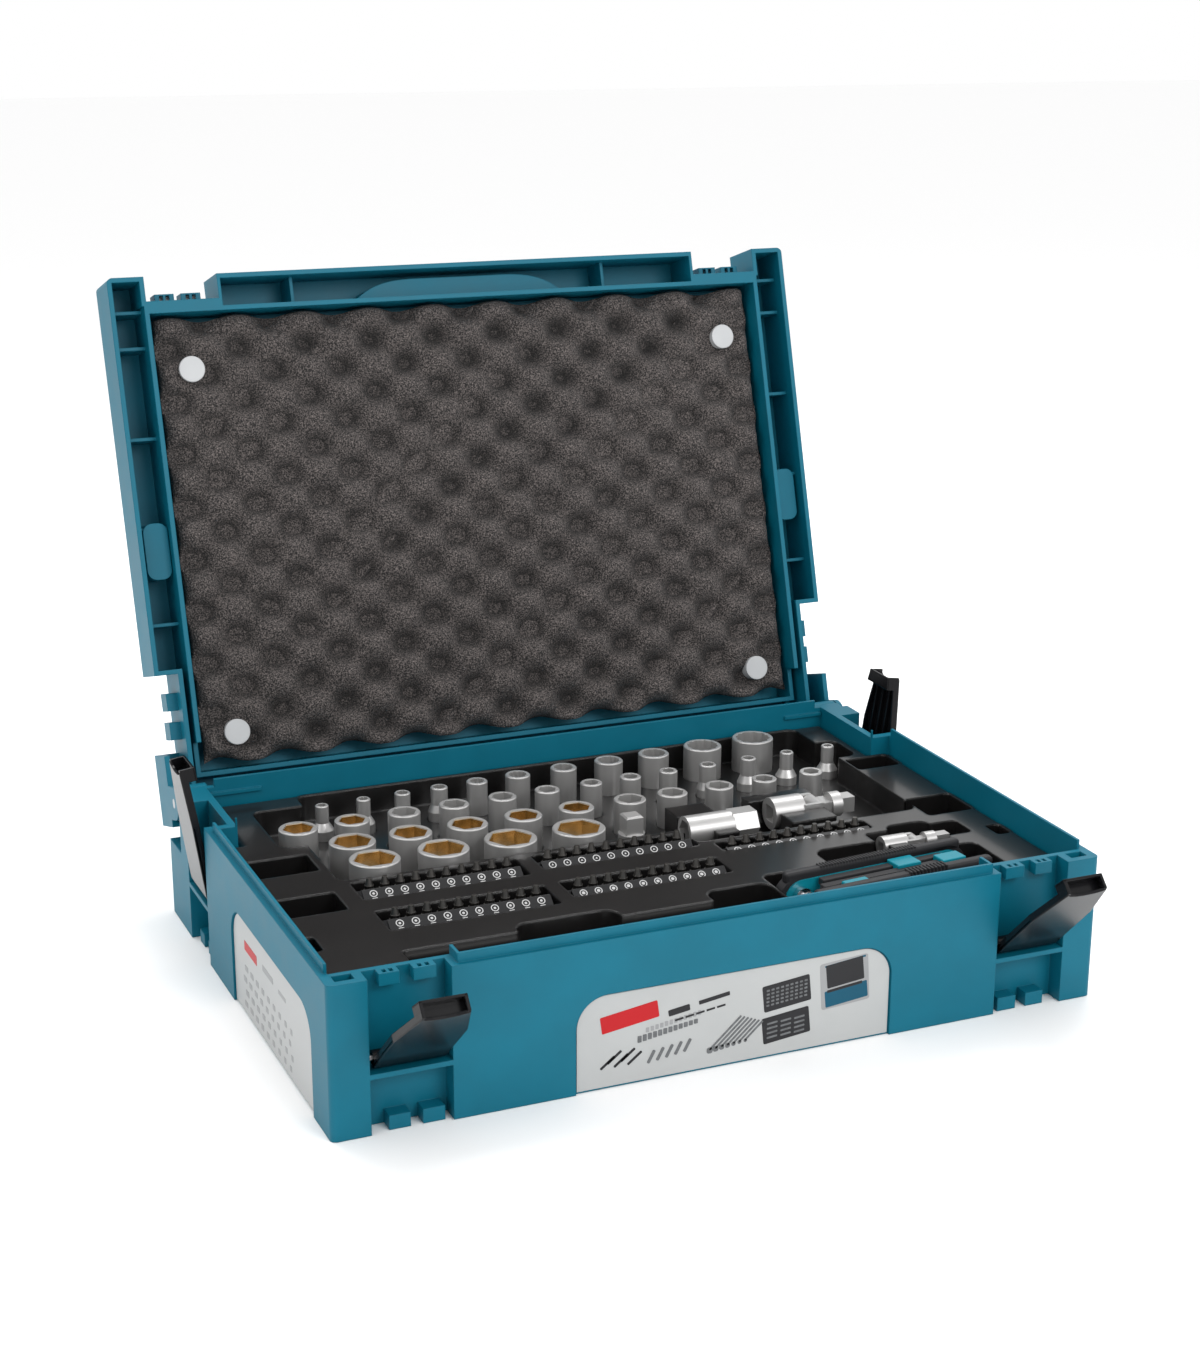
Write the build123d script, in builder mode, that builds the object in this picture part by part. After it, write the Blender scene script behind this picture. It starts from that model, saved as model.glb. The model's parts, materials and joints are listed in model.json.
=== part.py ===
"""Socket wrench set in a stackable plastic case: two trays of tools under a hinged, foam-lined lid.

Frame: millimetres, +X to the right, +Y to the back, +Z up, origin in the middle of the case's underside.
The lid is drawn closed and then turned open about its hinge.
"""
from build123d import *
import os

os.makedirs("parts", exist_ok=True)

# ---- case, outside sizes
HALF_W = 198.0          # half the width over the side walls
HALF_D = 143.0          # half the depth over the front panel and the back posts
RIM = 75.0              # height of the base's rim
TONGUE = 79.5           # top of the thin tongue that stands inside the rim
LID_SIDE_BACK = 62.5    # where the lid's side channels end
WALL = 4.5
INNER_X = HALF_W - WALL
FLOOR = 4.0
FRONT_RECESS = (141.0, 179.5)    # the two latch recesses in the front, |x|
SIDE_RECESS = (66.0, 104.0)      # the latch recess in each side, y
RECESS_D = 10.0                  # depth of a front recess
LEDGE = 29.5                     # ledge under each latch
BACK_Y = 126.0                   # outside of the inset back wall

# ---- lid and hinge
LID_TOP = 105.0
LID_RIM = RIM + 0.4
LID_X = HALF_W
LID_FRONT = -147.0
HINGE_Y, HINGE_Z = 130.0, 66.0
OPEN_ANGLE = 107.0
PIN_R = 2.5
RUN_CLEAR = 0.05                 # radial clearance of a running pin
FOAM_BOTTOM = 79.5

# ---- latches
LATCH_PIN_R = 1.5
LATCH_PIVOT_Z = 35.5
HOOK_Z = 95.6 - LATCH_PIVOT_Z    # underside of the hook, above the pivot
LATCH_H = 103.0 - LATCH_PIVOT_Z  # from the pivot to the free end
LATCH_W = 34.0
LATCH_SIDE_W = 32.0
FRONT_TILT = {"left": 49.0, "right": 45.0}   # how far each front latch hangs open
BACK_TILT = 8.0

# ---- trays
DECK = 65.0                      # top of the upper tray
SHEET = 1.8                      # thickness of the trays' formed sheet
UPPER_BOTTOM = 25.0
LOWER_DECK = 24.6
WELL_FLOOR = 50.0                # floor of the big socket well


def block(x, y, z, mode=Mode.ADD):
    """A block given by its low and high edges along each axis."""
    with Locations(((x[0] + x[1]) / 2, (y[0] + y[1]) / 2, (z[0] + z[1]) / 2)):
        Box(abs(x[1] - x[0]), abs(y[1] - y[0]), abs(z[1] - z[0]), mode=mode)


def pair(x, y, z, mode=Mode.ADD):
    """The same block on the right side and, mirrored, on the left."""
    block(x, y, z, mode)
    block((-x[1], -x[0]), y, z, mode)


def rod(centre, radius, length, along, mode=Mode.ADD):
    """A round bar centred on a point, along X, Y or Z."""
    turn = {"x": (0, 90, 0), "y": (90, 0, 0), "z": (0, 0, 0)}[along]
    with Locations(centre):
        Cylinder(radius, length, rotation=turn, mode=mode)


def save(piece, name):
    """Label a finished piece and write it out under the same name."""
    piece.label = name
    export_step(piece, f"parts/{name}.step")


def opened(piece):
    """Turn a piece of the closed lid to where the open lid holds it."""
    return piece.rotate(Axis((0, HINGE_Y, HINGE_Z), (1, 0, 0)), -OPEN_ANGLE)


# ================================================================ base of the case
PANEL_X = FRONT_RECESS[0] - 1.0          # half width of the raised front panel
RECESS_Y = -HALF_D + RECESS_D            # outer face of the wall behind a front recess
CAVITY_FRONT = RECESS_Y + 3.0            # inner face of that wall
CAVITY_BACK = BACK_Y - 4.0
JOG_X = 186.0                            # outer face of the wall behind a side recess
POST_Z = 42.0                            # below this the back posts keep their full depth
KNUCKLE_R = 9.0
KNUCKLE_X = (180.5, 194.5)
LABEL_D = 1.6
LABEL_HALF = 82.0
FRONT_LABEL_TOP = 47.0
SIDE_LABEL_Y = (-116.0, 19.5)
SIDE_LABEL_TOP = 51.0

with BuildPart() as case_base:
    block((-HALF_W, HALF_W), (-HALF_D, BACK_Y), (0, RIM))
    pair((180.0, HALF_W), (BACK_Y - 1, HALF_D), (0, POST_Z))
    pair((180.0, KNUCKLE_X[1]), (BACK_Y - 1, 132.0), (POST_Z, HINGE_Z))
    for side in (-1, 1):
        rod((side * sum(KNUCKLE_X) / 2, HINGE_Y, HINGE_Z), KNUCKLE_R, KNUCKLE_X[1] - KNUCKLE_X[0], "x")
    with BuildSketch(Plane.XY.offset(RIM - 1)):      # the tongue round the rim
        with BuildLine():
            Polyline((-INNER_X - 1.5, -129), (-INNER_X - 1.5, 62), (INNER_X + 1.5, 62), (INNER_X + 1.5, -129),
                     close=True)
        make_face()
    extrude(amount=TONGUE - RIM + 1)
    pair((182.9, HALF_W), (LID_SIDE_BACK - 3, 63), (RIM, TONGUE + 1), Mode.SUBTRACT)
    block((-178, 178), (60, CAVITY_BACK + 1.6), (RIM - 1, TONGUE))
    block((-137.5, 137.5), (-140.6, -128), (RIM - 1, TONGUE))
    # the inside
    block((-INNER_X, INNER_X), (CAVITY_FRONT, 61.0), (FLOOR, 90), Mode.SUBTRACT)
    block((-182.0, 182.0), (60.0, CAVITY_BACK), (FLOOR, 90), Mode.SUBTRACT)
    block((-136.0, 136.0), (-139.0, CAVITY_FRONT + 1), (FLOOR, 90), Mode.SUBTRACT)
    # front recesses with their ledges, teeth and slotted catches
    pair(FRONT_RECESS, (-HALF_D - 1, RECESS_Y), (-1, 90), Mode.SUBTRACT)
    pair(FRONT_RECESS, (-HALF_D, RECESS_Y), (LEDGE - 2.5, LEDGE))
    pair((160.7, 170.7), (-141.0, RECESS_Y), (0, 7))
    pair((144.5, 154.9), (-141.0, RECESS_Y), (0, 7))
    for low, high in ((163.5, 173.0), (146.5, 157.0)):
        pair((low, high), (-138.6, RECESS_Y), (69.0, RIM))
        for k in (1, 2):
            middle = low + (high - low) * k / 3
            pair((middle - 0.9, middle + 0.9), (-137.4, RECESS_Y - 1.2), (70.5, 77.0), Mode.SUBTRACT)
    # front corner posts are hollow, with a rectangular mouth on top
    pair((182.0, INNER_X + 1), (-HALF_D + 3, RECESS_Y + 1), (3.0, RIM - 3), Mode.SUBTRACT)
    pair((184.0, 193.0), (-HALF_D + 4, RECESS_Y), (RIM - 4, RIM + 1), Mode.SUBTRACT)
    # side recesses
    pair((JOG_X, HALF_W + 1), SIDE_RECESS, (-1, 90), Mode.SUBTRACT)
    pair((JOG_X, HALF_W), SIDE_RECESS, (LEDGE - 0.5, LEDGE + 2))
    pair((JOG_X, HALF_W - 3), (SIDE_RECESS[0] + 6, SIDE_RECESS[0] + 15), (0, 7))
    pair((JOG_X, HALF_W - 3), (SIDE_RECESS[1] - 15, SIDE_RECESS[1] - 6), (0, 7))
    # back posts: hollow, set in beside the hinge, cleared for the lid's brackets
    pair((KNUCKLE_X[1], HALF_W + 1), (119.0, HALF_D + 1), (POST_Z, 90), Mode.SUBTRACT)
    pair((183.0, INNER_X + 1), (107.0, 140.0), (-1, POST_Z - 3), Mode.SUBTRACT)
    # panel across the back, below the lid's swing
    block((-180.5, 180.5), (140.0, HALF_D), (0, 40))
    block((-180.5, 180.5), (BACK_Y - 1, HALF_D), (37, 40))
    for x in (-120, -60, 0, 60, 120):
        block((x - 1.25, x + 1.25), (BACK_Y - 1, HALF_D - 1), (2, 39))
    # lips inside the back wall
    block((158.0, 181.5), (CAVITY_BACK - 1.6, CAVITY_BACK + 0.5), (70.5, 72.5))
    block((-181.5, -153.0), (CAVITY_BACK - 1.6, CAVITY_BACK + 0.5), (70.5, 72.5))
    # arched hollows for the labels
    with BuildSketch(Plane.XZ.offset(HALF_D - LABEL_D)):
        with Locations((0, FRONT_LABEL_TOP / 2 - 8)):
            RectangleRounded(2 * LABEL_HALF, FRONT_LABEL_TOP + 18, 16)
    extrude(amount=LABEL_D + 1, mode=Mode.SUBTRACT)
    for side in (-1, 1):
        with BuildSketch(Plane.YZ.offset(side * (HALF_W - LABEL_D))):
            with Locations((sum(SIDE_LABEL_Y) / 2, SIDE_LABEL_TOP / 2 - 8)):
                RectangleRounded(SIDE_LABEL_Y[1] - SIDE_LABEL_Y[0], SIDE_LABEL_TOP + 18, 16)
        extrude(amount=side * (LABEL_D + 1), mode=Mode.SUBTRACT)
    fillet(case_base.edges().filter_by(Axis.Z).filter_by(
        lambda e: abs(abs(e.center().X) - HALF_W) < 0.1 and e.center().Y < -HALF_D + 0.2), 3.0)
    # seats of the hinge pins and the latch pins
    for side in (-1, 1):
        rod((side * 189.5, HINGE_Y, HINGE_Z), PIN_R, 17.0, "x", Mode.SUBTRACT)
save(case_base.part, "case_base")

with BuildPart() as hinge_pins:
    for side in (-1, 1):
        rod((side * 189.5, HINGE_Y, HINGE_Z), PIN_R, 17.0, "x")
save(hinge_pins.part, "hinge_pins")

front_span = FRONT_RECESS[1] - FRONT_RECESS[0]
front_mid = sum(FRONT_RECESS) / 2
side_span = SIDE_RECESS[1] - SIDE_RECESS[0]
side_mid = sum(SIDE_RECESS) / 2
FRONT_PIVOT_Y = -HALF_D + 5.0
SIDE_PIVOT_X = HALF_W - 5.0
SIDE_PIVOT_Z = LATCH_PIVOT_Z + 2.0
with BuildPart() as latch_pins:
    for side in (-1, 1):
        rod((side * front_mid, FRONT_PIVOT_Y, LATCH_PIVOT_Z), LATCH_PIN_R, front_span, "x")
        rod((side * SIDE_PIVOT_X, side_mid, SIDE_PIVOT_Z), LATCH_PIN_R, side_span, "y")
save(latch_pins.part, "latch_pins")

# ---- labels, set into their hollows
STICKER = 0.5
with BuildPart() as front_label:
    with BuildSketch(Plane.XZ.offset(HALF_D - LABEL_D)):
        with Locations((0, FRONT_LABEL_TOP / 2 - 8)):
            RectangleRounded(2 * LABEL_HALF - 1.5, FRONT_LABEL_TOP + 16.5, 15.2)
    extrude(amount=STICKER)
    block((-100, 100), (-HALF_D - 1, -HALF_D + 5), (-30, 1.0), Mode.SUBTRACT)
save(front_label.part, "front_label")
for side, word in ((-1, "left"), (1, "right")):
    with BuildPart() as side_label:
        with BuildSketch(Plane.YZ.offset(side * (HALF_W - LABEL_D))):
            with Locations((sum(SIDE_LABEL_Y) / 2, SIDE_LABEL_TOP / 2 - 8)):
                RectangleRounded(SIDE_LABEL_Y[1] - SIDE_LABEL_Y[0] - 1.5, SIDE_LABEL_TOP + 16.5, 15.2)
        extrude(amount=side * STICKER)
        block((-HALF_W - 1, HALF_W + 1), (-130, 40), (-30, 1.0), Mode.SUBTRACT)
    save(side_label.part, f"{word}_side_label")

# ================================================================ lid (drawn closed)
SKIN = 2.5
RING_X = 180.0           # outer face of the wall round the foam
RING_FRONT, RING_BACK = -130.0, 119.0
NARROW_X = 185.5
LID_BACK = 131.5
BRACKET = ((180.0, HALF_W), (105.0, 143.0))
PLATE_Z = LID_TOP - SKIN
HANDLE_POCKET = ((-78.0, 78.0), (-26.0, 24.0), 91.5)
with BuildPart() as lid_shell:
    # outline as one block, then hollowed from below
    block((-LID_X, LID_X), (RECESS_Y - 1, LID_SIDE_BACK), (LID_RIM, LID_TOP))
    block((-139.5, 139.5), (LID_FRONT, -130), (LID_RIM, LID_TOP))
    pair((178.5, LID_X), (LID_FRONT, -130), (LID_RIM, LID_TOP))
    block((-NARROW_X, NARROW_X), (LID_SIDE_BACK - 1, LID_BACK), (LID_RIM, LID_TOP))
    # channels between the outer flange and the ring wall
    pair((RING_X, LID_X - SKIN), (RECESS_Y + 1.5, LID_SIDE_BACK - SKIN), (70, PLATE_Z), Mode.SUBTRACT)
    pair((178.5 + SKIN, LID_X - SKIN), (LID_FRONT + SKIN, RECESS_Y + 2), (70, PLATE_Z), Mode.SUBTRACT)
    block((-137.8, 137.8), (LID_FRONT + SKIN, RING_FRONT), (70, PLATE_Z), Mode.SUBTRACT)
    pair((RING_X, NARROW_X - SKIN), (LID_SIDE_BACK - 4, LID_BACK - SKIN), (70, PLATE_Z), Mode.SUBTRACT)
    block((-RING_X, RING_X), (RING_BACK, LID_BACK - SKIN), (70, PLATE_Z), Mode.SUBTRACT)
    # the foam's bay, and the ring wall trimmed to clear the tongue
    block((-RING_X + SKIN, RING_X - SKIN), (RING_FRONT + SKIN, RING_BACK - SKIN), (70, PLATE_Z), Mode.SUBTRACT)
    block((-NARROW_X + SKIN, NARROW_X - SKIN), (100.0, LID_BACK - SKIN), (70, 85.0), Mode.SUBTRACT)
    # ribs across the side channels and the front channel
    for y in (-129.5, -110.5, -62.7, -15.0, 36.0):
        pair((RING_X - 1, LID_X - 1), (y - 0.9, y + 0.9), (84.0, PLATE_Z + 0.5))
    for x in (-97.0, 86.0):
        block((x - 0.9, x + 0.9), (LID_FRONT + 1, RING_FRONT + 1), (84.0, PLATE_Z + 0.5))
    # finger scoops: a rounded bulge in the front and one in each side
    with BuildSketch(Plane.XY.offset(84.0)):
        with BuildLine():
            bulge = Spline((-62, -130), (-46, -138.5), (-20, -140.5), (18, -140.5), (44, -138.5), (60, -130))
            Line(bulge @ 1, bulge @ 0)
        make_face()
    extrude(amount=PLATE_Z - 84.0 + 0.5)
    for side in (-1, 1):
        with BuildSketch(Plane.XY.offset(82.0)):
            with Locations((side * (RING_X + 7), -3)):
                RectangleRounded(13, 30, 5)
        extrude(amount=PLATE_Z - 82.0 + 0.5)
    # catches that the latches hook over
    for low, high in ((161.6, 172.0), (147.3, 157.8)):
        pair((low, high), (-138.6, RECESS_Y), (84.0, 94.6))
        for k in (1, 2):
            middle = low + (high - low) * k / 3
            pair((middle - 1.0, middle + 1.0), (-137.8, RECESS_Y - 1.0), (83, 95), Mode.SUBTRACT)
    for low, high in ((72.5, 82.0), (88.0, 97.5)):
        pair((NARROW_X - 0.5, 191.5), (low, high), (84.0, 96.6))
    # brackets round the back corners, with the hinge arms
    for side in (-1, 1):
        low, high = sorted((side * BRACKET[0][0], side * BRACKET[0][1]))
        arm = sorted((side * 195.2, side * HALF_W))
        block((low, high), BRACKET[1], (97.5, 100.0))
        block((low, high), (BRACKET[1][1] - SKIN, BRACKET[1][1]), (75.5, 100.0))
        block(arm, BRACKET[1], (75.5, 100.0))
        block(arm, (121.0, 139.0), (HINGE_Z, 76.5))
        rod((sum(arm) / 2, HINGE_Y, HINGE_Z), KNUCKLE_R, arm[1] - arm[0], "x")
        rod((side * 190, HINGE_Y, HINGE_Z), PIN_R + RUN_CLEAR, 30, "x", Mode.SUBTRACT)
    # pocket for the carry handle, sunk in the top
    pocket_x, pocket_y, pocket_z = HANDLE_POCKET
    block((pocket_x[0] - 2, pocket_x[1] + 2), (pocket_y[0] - 2, pocket_y[1] + 2), (pocket_z - 2, LID_TOP))
    block(pocket_x, pocket_y, (pocket_z, LID_TOP + 1), Mode.SUBTRACT)
    # stacking ribs on the top
    pair((150.0, 170.0), (-100.0, -80.0), (LID_TOP - 1.6, LID_TOP + 1), Mode.SUBTRACT)
    pair((150.0, 170.0), (70.0, 90.0), (LID_TOP - 1.6, LID_TOP + 1), Mode.SUBTRACT)
    fillet(lid_shell.edges().filter_by(Axis.Z).filter_by(
        lambda e: abs(abs(e.center().X) - LID_X) < 0.1 and e.center().Y < LID_FRONT + 0.2), 3.0)
save(opened(lid_shell.part), "lid_shell")

# ---- foam pad and its plugs
PLUG_AT = ((-157.0, -98.0), (157.0, -98.0), (-156.0, 97.0), (156.0, 97.0))
PLUG_R = 7.0
with BuildPart() as foam_pad:
    block((-176.5, 176.5), (-126.5, 113.5), (FOAM_BOTTOM, PLATE_Z - 0.1))
    block((-80.5, 80.5), (-28.5, 26.5), (89.2, 110), Mode.SUBTRACT)
    with Locations(*[(x, y, FOAM_BOTTOM) for x, y in PLUG_AT]):
        Cylinder(PLUG_R, 20, mode=Mode.SUBTRACT)
        Cylinder(2.0, 60, mode=Mode.SUBTRACT)
save(opened(foam_pad.part), "foam_pad")
with BuildPart() as foam_plugs:
    with Locations(*[(x, y, FOAM_BOTTOM + 6) for x, y in PLUG_AT]):
        Cylinder(PLUG_R - 0.1, 8)
    with Locations(*[(x, y, FOAM_BOTTOM + 16) for x, y in PLUG_AT]):
        Cylinder(2.0, 14)
save(opened(foam_plugs.part), "foam_plugs")

# ---- carry handle, folded into the lid's top
HANDLE_PIVOT = (-14.0, 98.2)
with BuildPart() as carry_handle:
    block((-70, 70), (6.0, 20.0), (93.0, 103.5))
    for side in (-1, 1):
        low, high = sorted((side * 60, side * 73))
        block((low, high), (HANDLE_PIVOT[0], 20.0), (93.0, 103.0))
        rod((side * 66.5, HANDLE_PIVOT[0], HANDLE_PIVOT[1]), 5.0, 13.0, "x")
    for side in (-1, 1):
        rod((side * 70, HANDLE_PIVOT[0], HANDLE_PIVOT[1]), 2.0 + RUN_CLEAR, 30, "x", Mode.SUBTRACT)
save(opened(carry_handle.part), "carry_handle")
with BuildPart() as handle_pins:
    for side in (-1, 1):
        rod((side * 69.0, HANDLE_PIVOT[0], HANDLE_PIVOT[1]), 2.0, 18.0, "x")
save(opened(handle_pins.part), "handle_pins")

# ================================================================ latches (drawn closed at the origin)
def make_latch(width):
    """A hollow lever: its pivot runs along X at the origin, its outer face looks to -Y."""
    half = width / 2
    with BuildPart() as lever:
        rod((0, 0, 0), 3.5, width, "x")
        with BuildSketch(Plane.XZ.offset(2.4)):          # outer face, its free end narrowed
            with BuildLine():
                Polyline((-half, 0), (half, 0), (half, 0.6 * LATCH_H), (half - 5, LATCH_H - 3.5),
                         (half - 9, LATCH_H - 2), (9 - half, LATCH_H - 2), (5 - half, LATCH_H - 3.5),
                         (-half, 0.6 * LATCH_H), close=True)
            make_face()
        extrude(amount=2.4)
        for side in (-1, 1):
            with BuildSketch(Plane.YZ.offset(side * (half - 1.0))):
                with BuildLine():
                    Polyline((-3, 0), (2.4, 0), (3.4, HOOK_Z - 8), (3.4, LATCH_H - 0.5), (1.5, LATCH_H),
                             (-2.6, LATCH_H - 7), (-3.4, 0.6 * LATCH_H), close=True)
                make_face()
            extrude(amount=0.95, both=True)
        block((-half, half), (-3.5, 3.4), (HOOK_Z, HOOK_Z + 2.0))
        block((-half, half), (1.6, 3.4), (HOOK_Z, LATCH_H - 0.5))
        for k in (-1, 0, 1):                              # stiffening ribs inside
            block((k * 7 - 0.6, k * 7 + 0.6), (-3.0, -1.0), (5, HOOK_Z - 2))
        rod((0, 0, 0), LATCH_PIN_R + RUN_CLEAR, width + 2, "x", Mode.SUBTRACT)
    return lever.part


for side, word in ((-1, "left"), (1, "right")):
    lever = Rot(FRONT_TILT[word], 0, 0) * make_latch(LATCH_W)
    save(Pos(side * front_mid, FRONT_PIVOT_Y, LATCH_PIVOT_Z) * lever, f"front_{word}_latch")
    lever = Rot(0, 0, side * 90) * (Rot(BACK_TILT, 0, 0) * make_latch(LATCH_SIDE_W))
    save(Pos(side * SIDE_PIVOT_X, side_mid, SIDE_PIVOT_Z) * lever, f"back_{word}_latch")

# ================================================================ upper tray
# each pocket: x range, y range, floor, corner radius
SOCKET_WELL = (
    ((-150, 37), (-5.5, 104), WELL_FLOOR, 6),
    ((-164, -138), (48, 104), WELL_FLOOR, 6),
    ((-136, 163), (88, 118.3), WELL_FLOOR, 6),
    ((33, 163), (-25, 112), WELL_FLOOR, 6),
    ((150, 175), (64, 92), WELL_FLOOR, 6),
)
BIT_POCKETS = (
    ((-146, -60), (-33, -9.5), 46, 2),
    ((-146, -60), (-73, -48), 46, 2),
    ((-52, 33), (-29, -9.5), 46, 2),
    ((-52, 33), (-68, -47), 46, 2),
    ((41, 127), (-41, -28.5), 46, 2),
)
FINGER_NOTCHES = (
    ((-190, -154), (12, 36), 38, 2.5),
    ((-190, -156), (-41, -17), 38, 2.5),
    ((-190, -181), (-83, -66), 38, 2.5),
    ((164, 190), (41, 59), 38, 2.5),
    ((163, 190), (-37, -10), 38, 2.5),
    ((182, 190), (-75, -61), 38, 2.5),
)
FRONT_POCKETS = (
    ((-149, -86), (-113, -97), 50, 2.5),
    ((-92, -40), (-120, -88), 46, 8),
    ((-46, 38), (-115, -98), 52, 3),
    ((8, 42), (-124, -86), 46, 7),
)
TOOL_POCKETS = (
    ((43, 165), (-127, -78), 40, 5),
    ((82, 122), (-86, -58), 44, 8),
    ((118, 172), (-66, -47), 50, 3),
    ((132, 158), (-72, -41), 46, 7),
)
ALL_POCKETS = SOCKET_WELL + BIT_POCKETS + FINGER_NOTCHES + FRONT_POCKETS + TOOL_POCKETS

TRAY_HALF_W, TRAY_BACK, TRAY_FRONT = 192.6, 120.2, -128.6
DRIVE_BASE_R = 6.0               # quarter-inch sockets widen to this at the drive end
SOCKET_TOP = 68.5

# sockets, left to right: x, outside diameter; each row's y is a straight line through (x, y)
STAR_ROW = ((-129, 7.0), (-106, 7.4), (-84, 8.4), (-63, 9.2), (-41, 11.4), (-17, 13.6), (10.5, 14.4),
            (38, 15.8), (66, 17.2), (97, 21.4), (129.5, 23.4))
SMALL_ROW = ((-150, 20.0), (-121, 18.0), (-92.5, 17.0), (-64.5, 16.0), (-37, 15.0), (-11, 13.4), (15, 11.9),
             (38.5, 11.6), (61.5, 10.2), (86, 9.2), (111.5, 8.6), (136, 7.6), (162.5, 7.2))
MIDDLE_ROW = ((-130, 23.6), (-99, 22.0), (-68, 21.2), (-37, 19.8), (-7, 18.8), (24, 17.2), (49, 16.2),
              (77, 15.4), (104.5, 13.6), (133.5, 12.8))
LARGE_ROW = ((-127, 25.6), (-91, 26.0), (-55, 27.0), (-17.5, 27.4))
ADAPTER_AT = (13.5, 13.0)
ROWS = {
    "star_sockets": (STAR_ROW, 92.0, 0.052, 25.0),
    "small_sockets": (SMALL_ROW, 64.0, 0.040, 26.0),
    "middle_sockets": (MIDDLE_ROW, 36.0, 0.020, 30.0),
    "large_sockets": (LARGE_ROW, 9.0, 0.006, 38.0),
}


def row_places(name):
    """Every socket of a row as (x, y, radius, foot radius, length)."""
    row, y_start, slope, length = ROWS[name]
    x_start = row[0][0]
    places = []
    for x, width in row:
        tall = length + (8.0 if name == "star_sockets" and width > 20 else 0.0)
        places.append((x, y_start + slope * (x - x_start), width / 2, max(width / 2, DRIVE_BASE_R), tall))
    return places


def pocket(spec, grow, mode):
    """One pocket of a formed tray; grow adds the sheet's thickness round it."""
    (x0, x1), (y0, y1), floor, corner = spec
    with BuildSketch(Plane.XY.offset(floor - grow)) as outline:
        with Locations(((x0 + x1) / 2, (y0 + y1) / 2)):
            RectangleRounded(x1 - x0 + 2 * grow, y1 - y0 + 2 * grow, corner + grow)
    extrude(outline.sketch, amount=DECK - floor + grow + (0 if grow else 5), mode=mode)


with BuildPart() as upper_tray:
    # outer skirt and deck
    block((-TRAY_HALF_W, TRAY_HALF_W), (TRAY_FRONT, 60.0), (UPPER_BOTTOM, DECK))
    block((-180.6, 180.6), (59.0, TRAY_BACK), (UPPER_BOTTOM, DECK))
    block((-135, 135), (-137.6, TRAY_FRONT + 1), (UPPER_BOTTOM, DECK))
    fillet(upper_tray.edges().group_by(Axis.Z)[-1], 2.5)
    block((-TRAY_HALF_W + SHEET, TRAY_HALF_W - SHEET), (TRAY_FRONT + SHEET, 60 - SHEET),
          (UPPER_BOTTOM - 1, DECK - SHEET), Mode.SUBTRACT)
    block((-180.6 + SHEET, 180.6 - SHEET), (55.0, TRAY_BACK - SHEET), (UPPER_BOTTOM - 1, DECK - SHEET),
          Mode.SUBTRACT)
    block((-135 + SHEET, 135 - SHEET), (-137.6 + SHEET, TRAY_FRONT + 3), (UPPER_BOTTOM - 1, DECK - SHEET),
          Mode.SUBTRACT)
    # walls of the pockets and of the sockets' cups, then their hollows
    for spec in ALL_POCKETS:
        pocket(spec, SHEET, Mode.ADD)
    cups = [place for name in ROWS for place in row_places(name)]
    cups.append((ADAPTER_AT[0], ADAPTER_AT[1], 7.0, 7.0, SOCKET_TOP - 44.0))
    for x, y, radius, foot, length in cups:
        base = SOCKET_TOP - length
        rod((x, y, (base - 1.2 + WELL_FLOOR) / 2), foot + 2.0, WELL_FLOOR - base + 1.2, "z")
    for spec in ALL_POCKETS:
        pocket(spec, 0, Mode.SUBTRACT)
    for x, y, radius, foot, length in cups:
        base = SOCKET_TOP - length
        rod((x, y, (base + 60) / 2), foot + 0.4, 60 - base, "z", Mode.SUBTRACT)
    # holders that stand in the well for the plug sockets, and the ribs beside the folding keys
    block((38, 60), (9, 25), (WELL_FLOOR - 1, 66))
    block((50, 62), (-16, 9), (WELL_FLOOR - 1, 64))
    block((84, 122), (15, 27), (WELL_FLOOR - 1, 65))
    block((93, 119), (-16, 0), (WELL_FLOOR - 1, 64))
    rod((60, -2, 62.0), 8.7, 60, "x", Mode.SUBTRACT)
    rod((112, 8.0, 61.0), 10.3, 60, "x", Mode.SUBTRACT)
save(upper_tray.part, "upper_tray")


# ---- sockets: a round wall, a hexagon or star mouth above and a square drive below
def make_socket(x, y, radius, foot, length, points):
    """One socket standing on its drive end."""
    base = SOCKET_TOP - length
    mouth = radius - (1.1 if radius < 5 else 1.7)
    drive = 3.2 if radius < 7 else (4.8 if radius < 10 else 6.4)
    with BuildPart() as socket:
        with BuildSketch(Plane.XY.offset(base)):
            with Locations((x, y)):
                Circle(foot)
        extrude(amount=length if foot == radius else length * 0.46)
        if foot > radius:
            with BuildSketch(Plane.XY.offset(base + length * 0.46)):
                with Locations((x, y)):
                    Circle(foot)
            with BuildSketch(Plane.XY.offset(base + length * 0.62)):
                with Locations((x, y)):
                    Circle(radius)
            loft()
            rod((x, y, base + length * 0.8), radius, length * 0.4, "z")
        with BuildSketch(Plane.XY.offset(SOCKET_TOP)):
            with Locations((x, y)):
                RegularPolygon(mouth, 6)
                if points == 12:
                    RegularPolygon(mouth, 6, rotation=30)
        extrude(amount=-min(0.45 * length, 14.0), mode=Mode.SUBTRACT)
        with BuildSketch(Plane.XY.offset(base)):
            with Locations((x, y)):
                Rectangle(2 * drive, 2 * drive)
        extrude(amount=0.4 * length, mode=Mode.SUBTRACT)
        chamfer(socket.edges().filter_by(GeomType.CIRCLE).group_by(Axis.Z)[-1], 0.5)
    return socket.part


for name in ROWS:
    points = 12 if name == "star_sockets" else 6
    made = [make_socket(*place, points) for place in row_places(name)]
    save(Compound(children=made), name)

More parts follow.
